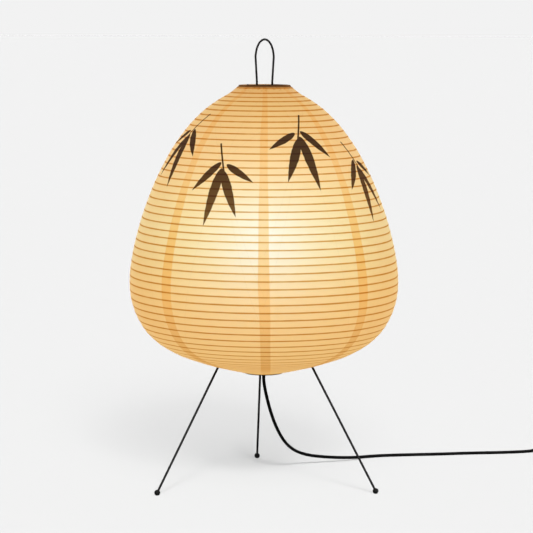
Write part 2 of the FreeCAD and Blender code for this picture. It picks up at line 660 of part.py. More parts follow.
cover_cuts = [
    lying_rod("cover_slot", slot_r, dim("switch_long") + 4, sx - 2, sy, split, "X"),
    block("window", mid_x - window_half, sy - cheek_in, roof - wall - 1, window_half * 2, cheek_in * 2, wall + 2),
    lying_rod("pin_bore", dim("pin_dia") / 2 + dim("pin_fit") / 2, dim("switch_wide") - wall * 2 + 0.02, mid_x,
              low_y + wall - 0.01, pivot_z, "Y"),
]
for n, a, b in POSTS:
    cover_cuts.append(post("cover_bore_" + n, dim("case_screw") / 2 + 0.05, split - 1, dim("cover_tall") - wall, a, b))
node("switch_cover", cut("cover_done", cover_full, cover_cuts))
for n, a, b in POSTS:
    head = post("case_head_" + n, dim("screw_head") / 2, 0.2, 1.0, a, b)
    shank = post("case_shank_" + n, dim("case_screw") / 2, 1.2, split - 1.2 + 2.2, a, b)
    node("switch_screw_" + n, joined("case_screw_" + n, [head, shank]))
node("switch_pin", lying_rod("pin", dim("pin_dia") / 2, dim("switch_wide") - wall * 2 - 0.1, mid_x,
                             low_y + wall + 0.05, pivot_z, "Y"))
for side, sign in (("in", -1), ("out", 1)):
    strip = block("strip_" + side, mid_x + sign * 9 - 4, sy - 2.5, wall, 8, 5, 1.2)
    node("switch_contact_" + side, strip)

# Rocker, drawn about its pivot and tipped to the pressed end.
half = dim("rocker_long") / 2
body = doc.addObject("PartDesign::Body", "rocker_body")
sketch = profile_sketch(body, "rocker_outline", "XZ_Plane", [
    (0 - half, 0.8), (0 - half + 4.2, -1.6), (half - 4.2, -1.6), (half, 0.8), (half, 4.6), (0, 3.6), (0 - half, 4.6),
])
pad = body.newObject("PartDesign::Pad", "rocker_pad")
pad.Profile = sketch
pad.Midplane = True
pad.setExpression("Length", dim("rocker_wide").text)
body.Tip = pad
hole = body.newObject("Sketcher::SketchObject", "rocker_hole")
hole.AttachmentSupport = [([f for f in body.Origin.OriginFeatures if f.Role == "XZ_Plane"][0], "")]
hole.MapMode = "FlatFace"
hole.addGeometry(Part.Circle(V(0, 0, 0), V(0, 0, 1), num("pin_dia") / 2 + num("pin_fit")), False)
hole.addConstraint(Sketcher.Constraint("Coincident", 0, 3, -1, 1))
k = hole.addConstraint(Sketcher.Constraint("Radius", 0, num("pin_dia") / 2 + num("pin_fit")))
hole.setExpression("Constraints[%d]" % k, (dim("pin_dia") / 2 + dim("pin_fit")).text)
pocket = body.newObject("PartDesign::Pocket", "rocker_bore")
pocket.Profile = hole
pocket.Type = "ThroughAll"
pocket.Midplane = True
body.Tip = pocket
tilt = FreeCAD.Rotation(V(0, 1, 0), num("rocker_tilt"))
body.Placement = FreeCAD.Placement(V(mid_x.value, case_y, pivot_z.value), tilt)
node("switch_rocker", body)

# Spare cord wound in four layers, with a run in from the switch and a run out to the plug.
step_r, layer = num("coil_step"), num("coil_layer")
inside = num("coil_inside")
ring_z = cord_r + num("tie_thick") + num("tie_gap")
around = int(num("coil_turns"))
wind_in = []
wind_out = [-(inside - 0.5 * step_r)]
for i in range(around):
    wind_in += [inside + (around - i) * step_r, -(inside + (around - i - 0.5) * step_r)]
    wind_out += [inside + (i + 0.5) * step_r, -(inside + (i + 1) * step_r)]
wind_in.append(inside)
stops = [(r, ring_z) for r in wind_in]
stops += [(r, ring_z + layer) for r in wind_out]
stops += [(inside + (around + 0.5) * step_r, ring_z + 2 * layer)]
stops += [(r, ring_z + 2 * layer) for r in wind_in[1:]]
stops += [(r, ring_z + 3 * layer) for r in wind_out]
coil_x = num("coil_x")
coil_y = case_y + stops[0][0]
arcs = []
for i in range(len(stops) - 1):
    (r0, z0), (r1, z1) = stops[i], stops[i + 1]
    a = V(coil_x, coil_y - r0, z0)
    b = V(coil_x, coil_y - r1, z1)
    bulge = 1 if i % 2 == 0 else -1
    mid = (a + b) * 0.5 + V(bulge * (b - a).Length / 2, 0, 0)
    arcs.append(Part.Arc(a, mid, b).toShape())
case_end = case_x + num("switch_long")
run_in = [(case_end - 4, case_y, seat_z), (case_end + num("relief_long") + 1.5, case_y, seat_z),
          (coil_x - 10, case_y, ring_z), (coil_x, case_y, ring_z)]
in_wire, radii = rounded_path(run_in)
print("run in radii", [round(r, 1) for r in radii])
end_y = coil_y - stops[-1][0]
end_z = stops[-1][1]
plug_x = coil_x - num("plug_gap")
plug_z = num("plug_tall") / 2
run_out = [(coil_x, end_y, end_z), (coil_x - 10, end_y, end_z), (coil_x - 24, end_y + 0.6, (end_z + plug_z) / 2),
           (plug_x + num("relief_long") + 1.5, end_y, plug_z), (plug_x - 6, end_y, plug_z)]
out_wire, radii = rounded_path(run_out)
print("run out radii", [round(r, 1) for r in radii])
coil_line = Part.Wire(in_wire.Edges + arcs + out_wire.Edges)
heading = V(*run_in[1]) - V(*run_in[0])
coil_tube = tube(coil_line, run_in[0], tuple(heading), cord_r)
node("cord_coil", solid("coil_tube", coil_tube))
samples = coil_line.discretize(Distance=1.2)
spacing = coil_line.Length / (len(samples) - 1)
apart = int(4 * num("cord_dia") / spacing) + 1
closest = 1e9
for i in range(len(samples)):
    for j in range(i + apart, len(samples)):
        gap = (samples[i] - samples[j]).Length
        closest = min(closest, gap)
print("coil least gap between turns %.2f" % (closest - num("cord_dia")))
print("cord whole length %.0f" % (cord_line.Length + coil_line.Length))

# Tapered sleeves where the cord meets the switch and the plug.


def sleeve_at(label, x, y, z, forward):
    # thick end on the housing, thin end along the cord
    cone = doc.addObject("Part::Cone", label + "_cone")
    drive(cone, "Radius1", dim("relief_thick") / 2)
    drive(cone, "Radius2", dim("relief_thin") / 2)
    drive(cone, "Height", dim("relief_long"))
    cone.Placement = FreeCAD.Placement(V(x, y, z), FreeCAD.Rotation(V(0, 1, 0), 90 if forward else -90))
    start = x - 1 if forward else x - num("relief_long") - 1
    hole = lying_rod(label + "_hole", dim("cord_dia") / 2 + dim("cord_gap"), dim("relief_long") + 2, start, y, z, "X")
    node(label, cut(label + "_bored", cone, [hole]))


sleeve_at("switch_relief_in", case_x, case_y, seat_z, False)
sleeve_at("switch_relief_out", case_end, case_y, seat_z, True)
sleeve_at("plug_relief", plug_x, end_y, plug_z, True)

# Tie round the bundle of turns.
tie_in = coil_x + inside - step_r / 4 - cord_r - num("tie_gap")
tie_out = coil_x + inside + around * step_r + cord_r + num("tie_gap")
tie_low = ring_z - cord_r - num("tie_gap")
tie_high = ring_z + 3 * layer + cord_r + num("tie_gap")
t = num("tie_thick")
band = num("tie_wide")
outer = block("tie_outside", tie_in - t, coil_y - band / 2, tie_low - t, tie_out - tie_in + 2 * t, band,
              tie_high - tie_low + 2 * t)
inner = block("tie_inside", tie_in, coil_y - band / 2 - 1, tie_low, tie_out - tie_in, band + 2, tie_high - tie_low)
node("cord_tie", cut("tie", outer, [inner]))

# Plug with two flat blades.
plug_box = block("plug_box", plug_x - num("plug_long"), end_y - num("plug_wide") / 2, 0, dim("plug_long"),
                 dim("plug_wide"), dim("plug_tall"))
plug_round = rounded("plug_round_box", plug_box, num("plug_round"), False)
face_x = plug_x - num("plug_long")
plug_cuts = [lying_rod("plug_cord_hole", dim("cord_dia") / 2 + dim("cord_gap"), 10, plug_x - 8, end_y, plug_z, "X")]
for side, sign in (("a", -1), ("b", 1)):
    plug_cuts.append(block("blade_slot_" + side, face_x - 1,
                           end_y + sign * dim("blade_half") - dim("blade_thick") / 2 - dim("blade_fit"),
                           plug_z - dim("blade_wide") / 2 - dim("blade_fit"), dim("blade_root") + 1,
                           dim("blade_thick") + dim("blade_fit") * 2, dim("blade_wide") + dim("blade_fit") * 2))
    blade = block("blade_box_" + side, face_x - dim("blade_long"),
                  end_y + sign * dim("blade_half") - dim("blade_thick") / 2, plug_z - dim("blade_wide") / 2,
                  dim("blade_long") + dim("blade_root"), dim("blade_thick"), dim("blade_wide"))
    node("plug_blade_" + side, blade)
node("plug_body", cut("plug_done", plug_round, plug_cuts))

# Check every piece, then write one file for each.
doc.recompute()
for thing in doc.Objects:
    bad = [s for s in thing.State if s in ("Invalid", "Error")]
    if bad:
        raise RuntimeError("%s is %s" % (thing.Name, bad))
os.makedirs("parts", exist_ok=True)
for label, thing in nodes:
    shape = thing.Shape
    if shape.isNull() or not shape.isValid():
        raise RuntimeError("%s has no sound shape" % label)
    print("%-20s solids %d volume %.1f" % (label, len(shape.Solids), shape.Volume))
    shape.exportStep("parts/%s.step" % label)
print("pieces", len(nodes))
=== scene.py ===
# %% [markdown]
# # A paper lantern on a wire tripod
# The lamp is a ribbed paper shade round a lit bulb, carried by three thin wire legs, with a black cord that
# runs off to a switch and a plug. The solids come in as a fixed frame. This lesson dresses them: it makes
# the paper and the cord anew, and gives every other piece a finish of its own.

# %% Load the frame
import bpy
import bmesh
import json
import math
from mathutils import Matrix, Vector


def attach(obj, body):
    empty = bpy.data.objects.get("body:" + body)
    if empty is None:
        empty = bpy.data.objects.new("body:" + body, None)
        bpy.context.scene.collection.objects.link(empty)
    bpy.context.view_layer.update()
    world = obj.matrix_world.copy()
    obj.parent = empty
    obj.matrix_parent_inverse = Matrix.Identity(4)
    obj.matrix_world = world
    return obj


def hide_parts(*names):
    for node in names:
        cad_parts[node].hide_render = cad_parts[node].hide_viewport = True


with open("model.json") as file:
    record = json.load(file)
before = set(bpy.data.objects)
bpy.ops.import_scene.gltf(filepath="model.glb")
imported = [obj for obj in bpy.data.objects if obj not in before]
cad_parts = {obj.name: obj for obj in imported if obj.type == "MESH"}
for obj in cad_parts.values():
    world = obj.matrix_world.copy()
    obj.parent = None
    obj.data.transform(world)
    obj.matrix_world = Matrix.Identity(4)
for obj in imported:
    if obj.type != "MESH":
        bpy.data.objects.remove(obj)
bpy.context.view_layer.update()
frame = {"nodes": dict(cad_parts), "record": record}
nodes = frame["nodes"]
print("pieces in the frame:", len(nodes))

# %% [markdown]
# ## Camera
# The picture was taken from the front, a little above the lamp's middle, with a long lens. A camera could be
# dragged about until it looks right, but here its place was worked out from the three feet and the curves of
# the ribs, so it is written as distance, height, turn, tilt and a trace of roll. The small shift moves the
# frame sideways without turning the camera.

# %% Place the camera
CAMERA_DISTANCE = 2.2247
CAMERA_HEIGHT = 0.4591
CAMERA_TURN = math.radians(-3.08)
CAMERA_TILT = math.radians(6.333)
CAMERA_ROLL = math.radians(0.18)
LENS_PIXELS = 2307.1
FRAME_PIXELS = 533
SENSOR = 36.0
AXIS_OFF_CENTRE = 2.5

lens = bpy.data.cameras.new("camera")
lens.sensor_width = SENSOR
lens.lens = LENS_PIXELS / FRAME_PIXELS * SENSOR
lens.shift_x = AXIS_OFF_CENTRE / FRAME_PIXELS
camera = bpy.data.objects.new("camera", lens)
camera.location = (
    CAMERA_DISTANCE * math.sin(CAMERA_TURN),
    -CAMERA_DISTANCE * math.cos(CAMERA_TURN),
    CAMERA_HEIGHT,
)
aim = Matrix.Rotation(CAMERA_TURN, 3, "Z") @ Matrix.Rotation(math.radians(90) - CAMERA_TILT, 3, "X")
camera.rotation_euler = (aim @ Matrix.Rotation(CAMERA_ROLL, 3, "Z")).to_euler()
scene = bpy.context.scene
scene.collection.objects.link(camera)
scene.camera = camera
scene.view_settings.view_transform = "Standard"
print("lens %.1f mm" % lens.lens)

# %% [markdown]
# ## Cord
# The cord is a round black flex, 3.2 mm thick and about two metres long. It hangs from the bush under the
# shade, bends on to the floor, runs to a switch, and its spare length is wound in a small tied coil next to
# the plug. A mesh tube could do this, but a curve is easier to steer: a NURBS line is pulled by its points
# like a bent rod and never kinks. The route's points are in metres. The coil's turns are more points of the
# same line, made half a turn at a time from the sizes of the winding.

# %% Route of the cord
CORD_THICK = 0.0032
LYING = CORD_THICK / 2
ROUTE_DOWN = [
    (0.0, 0.0, 0.1505), (0.0, 0.0, 0.128), (0.0, 0.0, 0.1077), (0.0, 0.0, 0.098), (0.0052, 0.0092, 0.075),
    (0.013, 0.0227, 0.051), (0.025, 0.044, 0.028), (0.042, 0.075, 0.0126), (0.066, 0.087, 0.007),
    (0.096, 0.101, 0.0032), (0.120, 0.119, LYING), (0.146, 0.123, LYING), (0.188, 0.126, LYING),
    (0.224, 0.131, LYING), (0.252, 0.132, LYING), (0.276, 0.1355, LYING), (0.289, 0.1385, 0.0018),
    (0.303, 0.1395, 0.0055), (0.329, 0.1395, 0.0055),
]
ROUTE_SWITCH = [(0.338, 0.1395, 0.0044), (0.358, 0.1395, 0.0044)]
ROUTE_TO_COIL = [(0.367, 0.1395, 0.0055), (0.3925, 0.1395, 0.0055), (0.402, 0.1395, 0.0028)]
ROUTE_TO_PLUG = [
    (0.402, 0.1858, 0.0142), (0.388, 0.1864, 0.0101), (0.3735, 0.1858, 0.006), (0.346, 0.1858, 0.006),
]
print("points down to the switch:", len(ROUTE_DOWN))

# %% Turns of the coil
COIL_CENTRE = (0.412, 0.16265)
COIL_INSIDE = 0.0122
COIL_STEP = 0.00365
COIL_LOW = 0.0028
COIL_LAYER = 0.0038
COIL_TURNS = 3
POINTS_PER_HALF = 8

inward, outward = [], [-(COIL_INSIDE - COIL_STEP / 2)]
for i in range(COIL_TURNS):
    left = COIL_TURNS - i
    inward += [COIL_INSIDE + left * COIL_STEP, -(COIL_INSIDE + (left - 0.5) * COIL_STEP)]
    outward += [COIL_INSIDE + (i + 0.5) * COIL_STEP, -(COIL_INSIDE + (i + 1) * COIL_STEP)]
inward.append(COIL_INSIDE)
stops = [(r, COIL_LOW) for r in inward] + [(r, COIL_LOW + COIL_LAYER) for r in outward]
stops += [(COIL_INSIDE + (COIL_TURNS + 0.5) * COIL_STEP, COIL_LOW + 2 * COIL_LAYER)]
stops += [(r, COIL_LOW + 2 * COIL_LAYER) for r in inward[1:]]
stops += [(r, COIL_LOW + 3 * COIL_LAYER) for r in outward]

# at a point, the line takes three quarters of its place from it and an eighth from each neighbour,
# so it runs a little inside its points, and they stand a little outside the turn
swell = 1 / (0.75 + 0.25 * math.cos(math.pi / POINTS_PER_HALF))
coil = []
for i in range(len(stops) - 1):
    (r0, z0), (r1, z1) = stops[i], stops[i + 1]
    middle = COIL_CENTRE[1] - (r0 + r1) / 2
    reach = (r0 - r1) / 2
    bulge = abs(reach) if i % 2 == 0 else -abs(reach)
    for k in range(POINTS_PER_HALF):
        share = (k + 0.5) / POINTS_PER_HALF
        a = math.pi * share
        coil.append((
            COIL_CENTRE[0] + swell * bulge * math.sin(a),
            middle - swell * reach * math.cos(a),
            z0 + (z1 - z0) * share,
        ))
print("coil points:", len(coil))

# %% Make the cord
STEPS_ALONG = 4
STEPS_ROUND = 4


def nurbs_line(name, points, thick):
    data = bpy.data.curves.new(name, "CURVE")
    data.dimensions = "3D"
    line = data.splines.new("NURBS")
    line.points.add(len(points) - 1)
    for point, place in zip(line.points, points):
        point.co = (*place, 1.0)
        point.radius = thick / 2
    line.order_u = 3
    line.use_endpoint_u = True
    line.resolution_u = STEPS_ALONG
    # the radius is in the points, so the bevel is one unit deep
    data.bevel_depth = 1.0
    data.bevel_resolution = STEPS_ROUND
    data.use_fill_caps = True
    thing = bpy.data.objects.new(name, data)
    scene.collection.objects.link(thing)
    return thing


route = ROUTE_DOWN + ROUTE_SWITCH + ROUTE_TO_COIL + coil + ROUTE_TO_PLUG
cord = nurbs_line("cord_line", route, CORD_THICK)
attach(cord, "lamp")
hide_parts("cord", "cord_inside", "cord_coil")
on_the_cord = [
    "switch_base", "switch_cover", "switch_rocker", "switch_pin", "switch_screw_a", "switch_screw_b",
    "switch_contact_in", "switch_contact_out", "switch_relief_in", "switch_relief_out",
    "cord_tie", "plug_body", "plug_blade_a", "plug_blade_b", "plug_relief",
]
print("cord points:", len(cord.data.splines[0].points))

# %% [markdown]
# ## Finishes
# Every finish is built from nodes. A few short helpers keep that readable: one adds a node and fills its
# sockets, one does sums, others mix colours or make noise. A socket takes either a plain value or the output
# of another node.

# %% Helpers for finishes
class Finish:
    def __init__(self, name):
        self.mat = bpy.data.materials.new(name)
        self.mat.use_nodes = True
        self.tree = self.mat.node_tree
        self.tree.nodes.clear()
        self.end = self.tree.nodes.new("ShaderNodeOutputMaterial")

    def fill(self, socket, value):
        if isinstance(value, bpy.types.NodeSocket):
            self.tree.links.new(value, socket)
        else:
            socket.default_value = value

    def add(self, kind, sockets, **settings):
        node = self.tree.nodes.new("ShaderNode" + kind)
        for key, value in settings.items():
            setattr(node, key, value)
        for key, value in sockets.items():
            self.fill(node.inputs[key], value)
        return node

    def sum(self, operation, a, b=0.0, c=0.0):
        return self.add("Math", {0: a, 1: b, 2: c}, operation=operation).outputs[0]

    def step(self, value, low, high):
        # a smooth rise from 0 at low to 1 at high
        sockets = {"Value": value, "From Min": low, "From Max": high}
        return self.add("MapRange", sockets, interpolation_type="SMOOTHSTEP").outputs[0]

    def mix(self, share, a, b, blend="MIX"):
        node = self.add("Mix", {0: share, 6: a, 7: b}, data_type="RGBA", blend_type=blend)
        return node.outputs[2]

    def times(self, a, b):
        # two colours multiplied
        return self.mix(1.0, a, b, "MULTIPLY")

    def stretch(self, vector, scale):
        return self.add("VectorMath", {0: vector, 1: scale}, operation="MULTIPLY").outputs[0]

    def noise(self, vector, scale, detail=2.0):
        sockets = {"Vector": vector, "Scale": scale, "Detail": detail, "Roughness": 0.5}
        return self.add("TexNoise", sockets).outputs["Fac"]

    def place(self):
        return self.add("TexCoord", {}).outputs["Object"]

    def ramp(self, value, stops):
        node = self.add("ValToRGB", {"Fac": value})
        while len(node.color_ramp.elements) < len(stops):
            node.color_ramp.elements.new(0.5)
        for element, (at, colour) in zip(node.color_ramp.elements, stops):
            element.position = at
            element.color = (*colour, 1.0)
        return node.outputs["Color"]

    def bump(self, height, distance, strength):
        sockets = {"Height": height, "Distance": distance, "Strength": strength}
        return self.add("Bump", sockets).outputs["Normal"]

    def show(self, shader):
        self.tree.links.new(shader.outputs[0], self.end.inputs["Surface"])

    def surface(self, sockets):
        node = self.add("BsdfPrincipled", sockets)
        self.show(node)
        return node


print("helpers ready")

# %% [markdown]
# ## Half section of the shade
# The paper follows an egg-shaped half section from the small wire ring below to the ring on top. Blender can
# draw such a line through a few points: a Bezier curve with automatic handles. It is turned into a fine row
# of points, and any place on it is found by its length along the paper.

# %% Draw the half section
SHADE_RADIUS = 0.1299
SHADE_LOW, SHADE_HIGH = 0.109, 0.387
EDGE_LOW, EDGE_HIGH = 0.0195, 0.0248
HALF_SECTION = [
    (0.390, 0.0281), (0.492, 0.0425), (0.713, 0.0848), (0.856, 0.135), (0.935, 0.1873), (0.980, 0.2417),
    (0.996, 0.2819), (1.000, 0.3271), (0.991, 0.3794), (0.942, 0.4911), (0.866, 0.6027), (0.763, 0.7144),
    (0.6205, 0.826), (0.462, 0.9095), (0.345, 0.9507), (0.246, 0.9789),
]
SECTION_STEPS = 40

outline = [(EDGE_LOW, SHADE_LOW)]
outline += [(SHADE_RADIUS * r, SHADE_LOW + (SHADE_HIGH - SHADE_LOW) * z) for r, z in HALF_SECTION]
outline += [(EDGE_HIGH, SHADE_HIGH)]
drawn = bpy.data.curves.new("half_section", "CURVE")
drawn.dimensions = "3D"
bezier = drawn.splines.new("BEZIER")
bezier.bezier_points.add(len(outline) - 1)
for point, (r, z) in zip(bezier.bezier_points, outline):
    point.co = (r, 0.0, z)
    point.handle_left_type = point.handle_right_type = "AUTO"
bezier.resolution_u = SECTION_STEPS
holder = bpy.data.objects.new("half_section", drawn)
scene.collection.objects.link(holder)
bpy.context.view_layer.update()
fine = bpy.data.meshes.new_from_object(holder.evaluated_get(bpy.context.evaluated_depsgraph_get()))
section = [v.co.copy() for v in fine.vertices]
bpy.data.objects.remove(holder)
print("places on the half section:", len(section))

# %% Measure along it
lengths = [0.0]
for a, b in zip(section, section[1:]):
    lengths.append(lengths[-1] + (b - a).length)
PAPER_LONG = lengths[-1]
paper_area = sum(math.pi * (a.x + b.x) * (b - a).length for a, b in zip(section, section[1:]))


def at_length(along):
    # the place on the half section at a length, and its inward direction
    for k in range(len(lengths) - 1):
        if along <= lengths[k + 1] or k == len(lengths) - 2:
            share = (along - lengths[k]) / (lengths[k + 1] - lengths[k])
            run = (section[k + 1] - section[k]).normalized()
            return section[k].lerp(section[k + 1], share), Vector((-run.z, 0.0, run.x))


print("paper %.1f mm along, %.4f square metres" % (PAPER_LONG * 1000, paper_area))

# %% [markdown]
# ## Where the hoops are
# Thin bamboo hoops are glued inside the paper, and the shadow of each is painted on the paper as a dark line.
# The hoops are solids in the frame already, so their places are read from those solids, and the paper is
# sure to fit them.

# %% Find the hoops
HOOP_NODES = ("ribs_lower", "ribs_middle", "ribs_upper")
HOOPS_APART = 0.003
DIGITS = 5

found = set()
for name in HOOP_NODES:
    for corner in nodes[name].data.vertices:
        r = math.hypot(corner.co.x, corner.co.y)
        found.add((round(r, DIGITS), round(corner.co.z, DIGITS)))
along_section = []
for r, z in sorted(found):
    here = Vector((r, 0.0, z))
    nearest = min(range(len(section)), key=lambda k: (section[k] - here).length_squared)
    along_section.append(lengths[nearest])
along_section.sort()
groups = [[along_section[0]]]
for along in along_section[1:]:
    if along - groups[-1][-1] > HOOPS_APART:
        groups.append([])
    groups[-1].append(along)
hoops = [(min(g) + max(g)) / 2 for g in groups]
print("hoops:", len(hoops))

# %% [markdown]
# ## Paper shade
# The shade is eight strips of thin paper, each lapped over the next. It could be eight pieces, but the glued
# paper acts as one skin, so it is one sheet: a row of points along the half section, spun round the upright
# axis and a lap further, so that its end lies over its start at the back. Between two hoops the paper draws
# in by a hair, and it stands a little proud where it is lapped. Its upper edge is a hem, folded inwards over
# the wire ring. Two numbers are kept at every point for the finish: how many hoops lie below it, and the
# length down from the ring.

# %% Rows from edge to edge
HOOP_PITCH = 0.0072
ROWS_BETWEEN = 4

first_count = -hoops[0] / HOOP_PITCH
last_count = len(hoops) - 1 + (PAPER_LONG - hoops[-1]) / HOOP_PITCH
marks = [(0.0, first_count)] + [(along, float(k)) for k, along in enumerate(hoops)]
marks.append((PAPER_LONG, last_count))
rows = []
for (along0, count0), (along1, count1) in zip(marks, marks[1:]):
    for k in range(ROWS_BETWEEN):
        share = k / ROWS_BETWEEN
        rows.append((along0 + (along1 - along0) * share, count0 + (count1 - count0) * share))
rows.append(marks[-1])
print("rows:", len(rows))

# %% Spin the paper
PANELS = 8
PANEL_TURN = 2 * math.pi / PANELS
LAP_MIDDLE = math.radians(267.1)
LAP_WIDE = math.radians(5.0)
PANEL_COLUMNS = 36
LAP_COLUMNS = 4
DRAWN_IN = 0.00018
HEM = [(0.02464, 0.38775), (0.0236, 0.3880), (0.02258, 0.3875)]

mesh = bmesh.new()
hoop_layer = mesh.verts.layers.float.new("hoop_count")
down_layer = mesh.verts.layers.float.new("down")
turn = LAP_MIDDLE + math.pi - LAP_WIDE / 2
chain = []
for along, count in rows:
    spot, inside = at_length(along)
    if 0 <= count <= len(hoops) - 1:
        spot = spot + inside * DRAWN_IN * (1 - math.cos(2 * math.pi * count)) / 2
    vert = mesh.verts.new((spot.x * math.cos(turn), spot.x * math.sin(turn), spot.z))
    vert[hoop_layer] = count
    vert[down_layer] = PAPER_LONG - along
    chain.append(vert)
hem_long = 0.0
for r, z in HEM:
    fold = mesh.verts.new((r * math.cos(turn), r * math.sin(turn), z))
    hem_long += (fold.co - chain[-1].co).length
    fold[hoop_layer] = last_count
    fold[down_layer] = -hem_long
    chain.append(fold)
paper_area += 2 * math.pi * HEM[1][0] * hem_long
edges = [mesh.edges.new(pair) for pair in zip(chain, chain[1:])]
bmesh.ops.spin(
    mesh, geom=chain + edges, cent=(0, 0, 0), axis=(0, 0, 1), angle=2 * math.pi + LAP_WIDE,
    steps=PANELS * PANEL_COLUMNS + LAP_COLUMNS, use_merge=False,
)
print("paper faces:", len(mesh.faces))

# %% Turn the faces outwards and raise the laps
LAP_PROUD = 0.0003

bmesh.ops.recalc_face_normals(mesh, faces=mesh.faces)
widest = max(mesh.faces, key=lambda face: face.calc_center_median().to_2d().length)
if widest.normal.dot(widest.calc_center_median()) < 0:
    bmesh.ops.reverse_faces(mesh, faces=mesh.faces)
mesh.verts.index_update()
raised = 0
for vert in mesh.verts:
    column = vert.index // len(chain)
    if column >= PANEL_COLUMNS and column % PANEL_COLUMNS <= LAP_COLUMNS:
        vert.co += Vector((vert.co.x, vert.co.y, 0.0)).normalized() * LAP_PROUD
        raised += 1
for face in mesh.faces:
    face.smooth = True
print("points on laps:", raised)

# %% Put the paper on the lamp in place of the panels
shade = bpy.data.meshes.new("paper_shade")
mesh.to_mesh(shade)
mesh.free()
paper = bpy.data.objects.new("paper_shade", shade)
scene.collection.objects.link(paper)
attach(paper, "lamp")
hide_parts(*["paper_panel_%d" % (k + 1) for k in range(PANELS)])
print("paper %.4f square metres with its hem" % paper_area)

# %% [markdown]
# ## Paper finish
# Lit paper is its own lamp: amber where it is seen at a slant, paler where the bulb shines straight through.
# The amber is the paper's own glow, which stays the same from all sides. The pale spot is real: a share of
# the paper is a rough refraction, which blurs the lit bulb behind it, and so it follows whoever looks.
# The painted shadows of the hoops and of the wire rings, the laps, fibres and brush marks each darken the
# paper by a colour, and those colours are multiplied.

# %% Coordinates on the paper
f = Finish("paper_lit")
at = f.add("SeparateXYZ", {0: f.place()})
x, y, z = at.outputs[0], at.outputs[1], at.outputs[2]
angle = f.sum("ARCTAN2", y, x)
radius = f.sum("SQRT", f.sum("ADD", f.sum("MULTIPLY", x, x), f.sum("MULTIPLY", y, y)))
hoop_count = f.add("Attribute", {}, attribute_name="hoop_count").outputs["Fac"]
down = f.add("Attribute", {}, attribute_name="down").outputs["Fac"]
height_span = {"Value": z, "From Min": SHADE_LOW, "From Max": SHADE_HIGH}
height_share = f.add("MapRange", height_span).outputs[0]

# panels are counted from two turns back, so that no count is below zero
COUNT_START = LAP_MIDDLE - 4 * math.pi
panels_round = f.sum("DIVIDE", f.sum("SUBTRACT", angle, COUNT_START), PANEL_TURN)
panel_number = f.sum("FLOOR", panels_round)
off_middle = f.sum("SUBTRACT", f.sum("FRACT", panels_round), 0.5)
across = f.sum("MULTIPLY", f.sum("MULTIPLY", off_middle, PANEL_TURN), radius)
wide = f.sum("MULTIPLY", angle, SHADE_RADIUS)
sheet_place = f.add("CombineXYZ", {0: wide, 1: down, 2: panel_number}).outputs[0]
print("coordinate nodes:", len(f.tree.nodes))

# %% [markdown]
# ## Hoop shadows
# Each hoop keeps the bulb's light off the paper, so a painted shadow stands for it: a dark line. A hoop is a
# split strip of bamboo, so its shadow line is ragged and darker in some places than in others. The
# distance from the nearest hoop is a plain sum of the kept count of hoops. It is taken in millimetres, with
# a shorter pitch near the top. The lowest hoops lie where the paper is seen edge on, and their shadows fade.

# %% Paint the hoop shadows
WHITE = (1.0, 1.0, 1.0, 1.0)
# painted shadow of a hoop: its dark colour on the paper's glow, and its tint on the light through the paper
HOOP_SHADOW_TONE = (0.52, 0.240, 0.01, 1.0)
HOOP_SHADOW_THROUGH = (2.0, 1.06, 0.33, 1.0)
HOOP_CORE = 0.42
HOOP_EDGE, EDGE_RAGGED = 0.62, 0.5
HOOP_SHADOW_DEPTH, DARK_DRIFT = 0.72, 0.5
PITCH, PITCH_CHANGE, PITCH_HEIGHTS = 7.2, -2.0, (0.80, 0.95)
STRIP_ROUND, STRIP_SCALE, STRIP_DETAIL = 6.0, 1.3, 3.0
HOOPS_THAT_FADE = (1.5, 8.5)

hoop_number = f.sum("ROUND", hoop_count)
pitch = f.sum("MULTIPLY_ADD", f.step(height_share, *PITCH_HEIGHTS), PITCH_CHANGE, PITCH)
hoops_off = f.sum("ABSOLUTE", f.sum("SUBTRACT", hoop_count, hoop_number))
from_hoop = f.sum("MULTIPLY", hoops_off, pitch)
strip_along = f.sum("MULTIPLY", angle, STRIP_ROUND)
strip_place = f.add("CombineXYZ", {0: strip_along, 1: hoop_number}).outputs[0]
strip = f.noise(strip_place, STRIP_SCALE, STRIP_DETAIL)
hoop_edge = f.sum("MULTIPLY_ADD", strip, EDGE_RAGGED, HOOP_EDGE)
hoop_share = f.sum("SUBTRACT", 1.0, f.step(from_hoop, HOOP_CORE, hoop_edge))
hoop_shadow_dark = f.sum("MULTIPLY", hoop_share, f.sum("MULTIPLY_ADD", strip, DARK_DRIFT, HOOP_SHADOW_DEPTH))
hoop_shadow_dark = f.sum("MULTIPLY", hoop_shadow_dark, f.step(hoop_count, *HOOPS_THAT_FADE))
# the painted hoop shadow, on the glow and on the light through the paper
hoop_shadow_colour = f.mix(hoop_shadow_dark, WHITE, HOOP_SHADOW_TONE)
hoop_shadow_through = f.mix(hoop_shadow_dark, WHITE, HOOP_SHADOW_THROUGH)
print("nodes with hoops:", len(f.tree.nodes))

# %% [markdown]
# ## Laps and fibres
# Where two strips of paper lap, the light passes two layers and comes out deeper. A lap is not a straight
# band: its width, its strength and its place drift with the height, and a colour ramp read as a number says
# how. The paper itself is laid, with fine lines along it and soft clouds.

